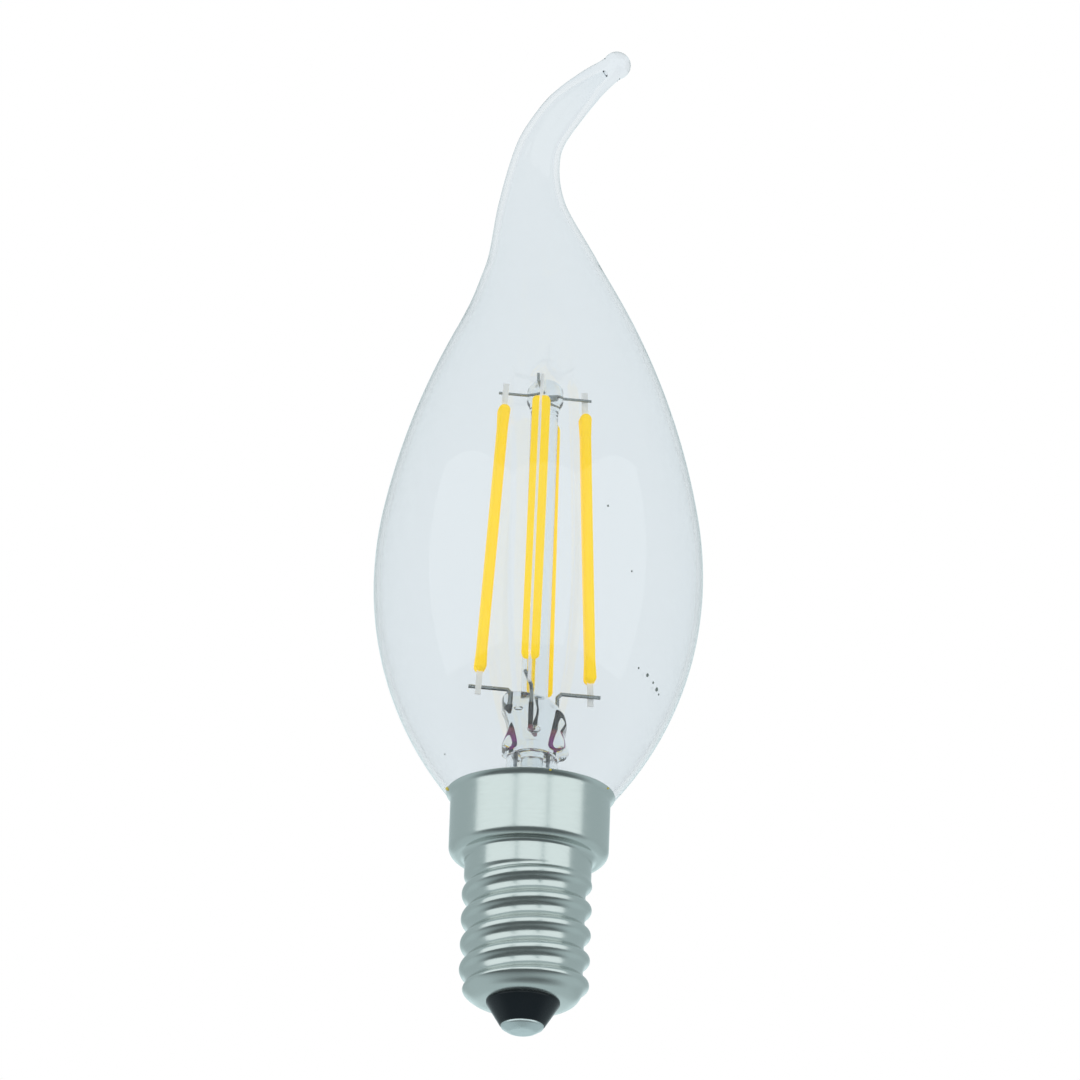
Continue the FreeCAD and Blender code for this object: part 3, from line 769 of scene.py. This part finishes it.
tube = turned("tube", [
    (tube_radius, press_bottom, 0),
    *flare_side(flare_curve, False),
    *flare_side(flare_curve + flare_wall, True),
    (tube_radius - tube_wall, press_bottom, 0),
], stem_glass, sides=96)
exhaust = turned("exhaust", [
    (exhaust_radius, exhaust_bottom + exhaust_radius, 0),
    (exhaust_radius, press_bottom, 0),
    (exhaust_radius - exhaust_wall, press_bottom, 0),
    (exhaust_radius - exhaust_wall, exhaust_bottom + exhaust_radius, 0),
    (0, exhaust_bottom + exhaust_radius - exhaust_tip_wall, 0),
    (0, exhaust_bottom, 0),
    (exhaust_tip_radius, exhaust_bottom + exhaust_tip_rise, 0),
], stem_glass, sides=64)
melt = bmesh.new()
for each in (tube, exhaust):
    melt.from_mesh(each.data)
    bpy.data.objects.remove(each)
bmesh.ops.scale(melt, vec=(1 / MM, 1 / MM, 1 / MM), verts=melt.verts)
pinched(melt, press_rows, press_squareness)
for middle, radii in press_lumps:
    ball(melt, middle, radii)
rough_form = bpy.data.meshes.new("stem")
melt.to_mesh(rough_form)
melt.free()
melted = bpy.data.objects.new("stem", rough_form)
bpy.context.collection.objects.link(melted)
run_together = melted.modifiers.new("run_together", "REMESH")
run_together.mode = "VOXEL"
run_together.voxel_size = melt_grain
fire_polish = melted.modifiers.new("fire_polish", "SMOOTH")
fire_polish.factor = 0.5
fire_polish.iterations = 10
bpy.context.view_layer.update()
polished = bpy.data.meshes.new_from_object(melted.evaluated_get(bpy.context.evaluated_depsgraph_get()))
bpy.data.objects.remove(melted)
stem_mesh = bmesh.new()
stem_mesh.from_mesh(polished)
before = set(stem_mesh.faces)
for middle, radii in bubbles:
    ball(stem_mesh, middle, radii)
bmesh.ops.reverse_faces(stem_mesh, faces=[face for face in stem_mesh.faces if face not in before])
bmesh.ops.scale(stem_mesh, vec=(MM, MM, MM), verts=stem_mesh.verts)
stem_mesh.to_mesh(polished)
stem_mesh.free()
polished.materials.clear()
stem = placed("stem_glass", polished, stem_glass)
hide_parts("glass_stem")
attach(stem, "root")

# Rod
# A glass rod that stands on the press, melted to a round button that holds the two thin wires.
rod_radius = 1.45
rod_bottom = press_top - 0.1
button_bottom = 69.9
button_radius = 1.95
button_widest = 70.9
button_shoulder_radius = 1.9
button_shoulder = 73.3
button_top = 73.35
rod = turned("glass_rod", [
    (0, rod_bottom, 0),
    (rod_radius, rod_bottom, 0),
    (rod_radius, button_bottom, 2.0),
    (button_radius, button_widest, 0.8),
    (button_shoulder_radius, button_shoulder, 1.4),
    (0, button_top, 0),
], stem_glass, sides=96, edge_angle=60)
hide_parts("support_rod")
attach(rod, "root")

# Filament coats
# Yellow silicone over both faces of each strip, cast in one go: rounded along its edges, with swollen ends.
arm_angle = {"left": 189.0, "front": 261.0, "right": 9.0, "back": 84.0}
strip_side = {"left": 1, "front": 1, "right": 1, "back": -1}
top_reach = 4.42
top_height = 70.1
top_beside = 0.31
bottom_reach = 6.01
bottom_height = 39.9
bottom_beside = 0.37
strip_thickness = 0.3
coat_half_width = 0.54
coat_end = 0.635
coat_thickness = 0.8
coat_end_share = 0.35
coat_squareness = 0.55
neck_behind_end = 0.6
thinnest = 0.02
end_rings = 9
length_rings = 12
coat_sides = 20
# The coat's emission is a painted glow: the unlit coat is made to shine, so its yellow looks brighter and
# flatter than the lights alone make it.
phosphor_painted_glow = (1.0, 0.62, 0.0, 1)
phosphor = material("phosphor", (1.0, 0.7, 0.004), 0.5, Specular_IOR_Level=0.1,
                    Emission_Color=phosphor_painted_glow, Emission_Strength=0.52)
vary(phosphor, "Base Color", 260, (1.0, 0.66, 0.003), (1.0, 0.76, 0.006))


def coat_rows(length, face):
    """One layer of the coat in the strip's own frame: rings of points from one end to the other."""
    ends = [coat_end * (1 - math.cos(math.pi / 2 * i / end_rings)) for i in range(end_rings + 1)]
    between = [length * i / length_rings for i in range(1, length_rings)]
    rings = []
    for mark in ends + between + [length - end for end in reversed(ends)]:
        nearer_end = min(mark, length - mark)
        from_end = min(nearer_end, coat_end)
        swell = math.sqrt(max(coat_end ** 2 - (coat_end - from_end) ** 2, 0))
        past = min(max((nearer_end - coat_end) / neck_behind_end, 0), 1)
        width = max(swell + (coat_half_width - swell) * past, thinnest)
        rise = math.sqrt(1 - (1 - from_end / coat_end) ** 2)
        height = coat_thickness * (coat_end_share + (1 - coat_end_share) * rise)
        ring = []
        for j in range(coat_sides + 1):
            turn = math.pi * j / coat_sides
            across = math.copysign(abs(math.cos(turn)) ** coat_squareness, math.cos(turn)) * width
            out = strip_thickness / 2 + height * math.sin(turn) ** coat_squareness
            ring.append(Vector((across, face * out, mark)))
        rings.append(ring)
    return rings


for side, angle in arm_angle.items():
    away = Vector((math.cos(math.radians(angle)), math.sin(math.radians(angle)), 0))
    beside = Vector((0, 0, 1)).cross(away) * strip_side[side]
    top = away * top_reach + Vector((0, 0, top_height)) + beside * top_beside
    bottom = away * bottom_reach + Vector((0, 0, bottom_height)) + beside * bottom_beside
    along = (top - bottom).normalized()
    through = (beside - along * along.dot(beside)).normalized()
    across = through.cross(along)
    points = []
    faces = []
    for face in (1, -1):
        first = len(points)
        rings = coat_rows((top - bottom).length, face)
        for ring in rings:
            points += [bottom + across * point.x + through * point.y + along * point.z for point in ring]
        count = len(rings[0])
        for i in range(len(rings) - 1):
            for j in range(count):
                k = (j + 1) % count
                low, high = first + i * count, first + (i + 1) * count
                quad = [low + j, low + k, high + k, high + j]
                faces.append(quad if face == 1 else quad[::-1])
        for i in (0, len(rings) - 1):
            cap = [first + i * count + j for j in range(count)]
            faces.append(cap[::-1] if (i == 0) == (face == 1) else cap)
    coat = piece("coat_" + side, points, faces, phosphor, edge_angle=55)
    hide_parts("phosphor_" + side)
    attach(coat, "root")

# Marks of making
# Three dabs of yellow cement squeezed out over the lip, and a few dark specks stuck to the glass.
dab_spots = [(-172, 26.6, 0.3), (-77, 26.5, 0.14), (-23, 26.5, 0.15)]
middle_of_lip = lip_radius - sheet / 2
speck_spots = [
    (-44, 37.6, 0.1), (-38, 37.3, 0.16), (-33, 36.9, 0.11), (-29, 36.5, 0.18), (-26, 36.2, 0.09),
    (-66, 53.8, 0.1), (-55.5, 47.1, 0.09), (-150, 29.0, 0.07),
]


def stuck_on(name, spots, reach, stretch_up, detail, finish):
    """Small drops on the outside of the lamp, from rows of (direction in degrees, height, size)."""
    drops = bmesh.new()
    for turn, height, size in spots:
        across, out = math.cos(math.radians(turn)), math.sin(math.radians(turn))
        spot = Vector((reach(height) * across, reach(height) * out, height))
        ball(drops, spot * MM, Vector((size, size, stretch_up * size)) * MM, detail)
    mesh = bpy.data.meshes.new(name)
    drops.to_mesh(mesh)
    drops.free()
    return placed(name, mesh, finish)


dab_cement = material("dab_cement", (0.5, 0.42, 0.04), 0.6)
vary(dab_cement, "Base Color", 2500, (0.42, 0.33, 0.03), (0.58, 0.51, 0.06))
cement_dabs = stuck_on("cement_dabs", dab_spots, lambda height: middle_of_lip, 0.7, 3, dab_cement)
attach(cement_dabs, "root")

speck_dirt = material("speck_dirt", (0.13, 0.17, 0.16), 0.9)
vary(speck_dirt, "Base Color", 3000, (0.1, 0.13, 0.12), (0.17, 0.21, 0.2))
glass_specks = stuck_on("glass_specks", speck_spots, glass_radius, 1.4, 2, speck_dirt)
glass_specks.data.shade_flat()
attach(glass_specks, "root")

# Finishes of the pieces that are shown as they were built
# The wires, strips, tags, cement and driver keep the shapes of the fixed frame.
# The seal wires are red only low in the press, where the glass wets their oxide, and grey above and below.
nickel_wire = material("nickel_wire", (0.30, 0.33, 0.33), 0.3, Metallic=1.0)
vary(nickel_wire, "Roughness", 1500, 0.22, 0.4)
tinned_wire = material("tinned_copper_wire", (0.30, 0.34, 0.37), 0.35, Metallic=1.0)
vary(tinned_wire, "Roughness", 1500, 0.28, 0.45)
seal_wire = material("seal_wire", (0.6, 0.1, 0.4), 0.35)
red_from = 32.0
red_to = 34.0
grey_below = (0.09, 0.11, 0.12, 1)
grey_above = (0.07, 0.085, 0.09, 1)
reds = {0.15: (0.6, 0.1, 0.55, 1), 0.5: (0.62, 0.12, 0.42, 1), 0.8: (0.68, 0.2, 0.26, 1)}
seal_tree = seal_wire.node_tree
seal_place = seal_tree.nodes.new("ShaderNodeTexCoord")
seal_axes = seal_tree.nodes.new("ShaderNodeSeparateXYZ")
seal_tree.links.new(seal_place.outputs["Object"], seal_axes.inputs[0])
seal_height = tree_ramp(seal_tree, seal_axes.outputs["Z"], red_from * MM, red_to * MM, 0, 1)
seal_colors = seal_tree.nodes.new("ShaderNodeValToRGB")
seal_colors.color_ramp.elements[0].color = grey_below
seal_colors.color_ramp.elements[1].color = grey_above
for share, color in reds.items():
    seal_colors.color_ramp.elements.new(share).color = color
seal_tree.links.new(seal_height, seal_colors.inputs["Fac"])
seal_tree.links.new(seal_colors.outputs["Color"], seal_tree.nodes["Principled BSDF"].inputs["Base Color"])
# The strips get a faint painted glow, which makes them look paler than the lights alone make them.
strip_white_painted_glow = material("filament_strip", (0.93, 0.91, 0.86), 0.5,
                       Emission_Color=(1.0, 0.97, 0.9, 1), Emission_Strength=0.2)
vary(strip_white_painted_glow, "Base Color", 900, (0.9, 0.88, 0.82), (0.96, 0.95, 0.9))
# The pins get a faint painted glow, which makes them look paler than the lights alone make them.
pin_metal_painted_glow = material("pin_metal_painted_glow", (0.93, 0.93, 0.91), 0.4, Metallic=0.1,
                     Emission_Color=(1.0, 1.0, 0.98, 1), Emission_Strength=0.16)
vary(pin_metal_painted_glow, "Roughness", 1500, 0.3, 0.5)
cement = material("cement", (0.62, 0.52, 0.3), 0.9)
vary(cement, "Base Color", 1200, (0.5, 0.41, 0.22), (0.74, 0.64, 0.4))
board = material("board", (0.05, 0.2, 0.09), 0.5)
vary(board, "Base Color", 800, (0.04, 0.16, 0.07), (0.06, 0.25, 0.12), stretch=(4, 4, 1))
black_component = material("black_component", (0.02, 0.02, 0.022), 0.45)
vary(black_component, "Roughness", 1300, 0.38, 0.55)
capacitor_can = material("capacitor_can", (0.08, 0.1, 0.2), 0.3, Metallic=0.2)
vary(capacitor_can, "Roughness", 600, 0.25, 0.38)
resistor_coat = material("resistor_coat", (0.3, 0.42, 0.45), 0.5)
vary(resistor_coat, "Base Color", 1500, (0.26, 0.37, 0.4), (0.34, 0.47, 0.5))
finishes = {
    "nickel_wire": nickel_wire, "seal_wire": seal_wire, "copper_wire": tinned_wire,
    "filament_strip": strip_white_painted_glow, "phosphor": phosphor, "cement": cement, "board": board,
    "black_component": black_component, "capacitor_can": capacitor_can, "resistor_coat": resistor_coat,
    "stem_glass": stem_glass, "clear_glass": clear_glass, "nickel_shell": nickel,
    "black_insulator": black, "tinned_contact": solder,
}
for entry in frame["record"]["subparts"]:
    node = frame["nodes"][entry["node"]]
    is_pin = entry["node"].startswith("pin_")
    node.data.materials.clear()
    node.data.materials.append(pin_metal_painted_glow if is_pin else finishes[entry["material_slot"]])
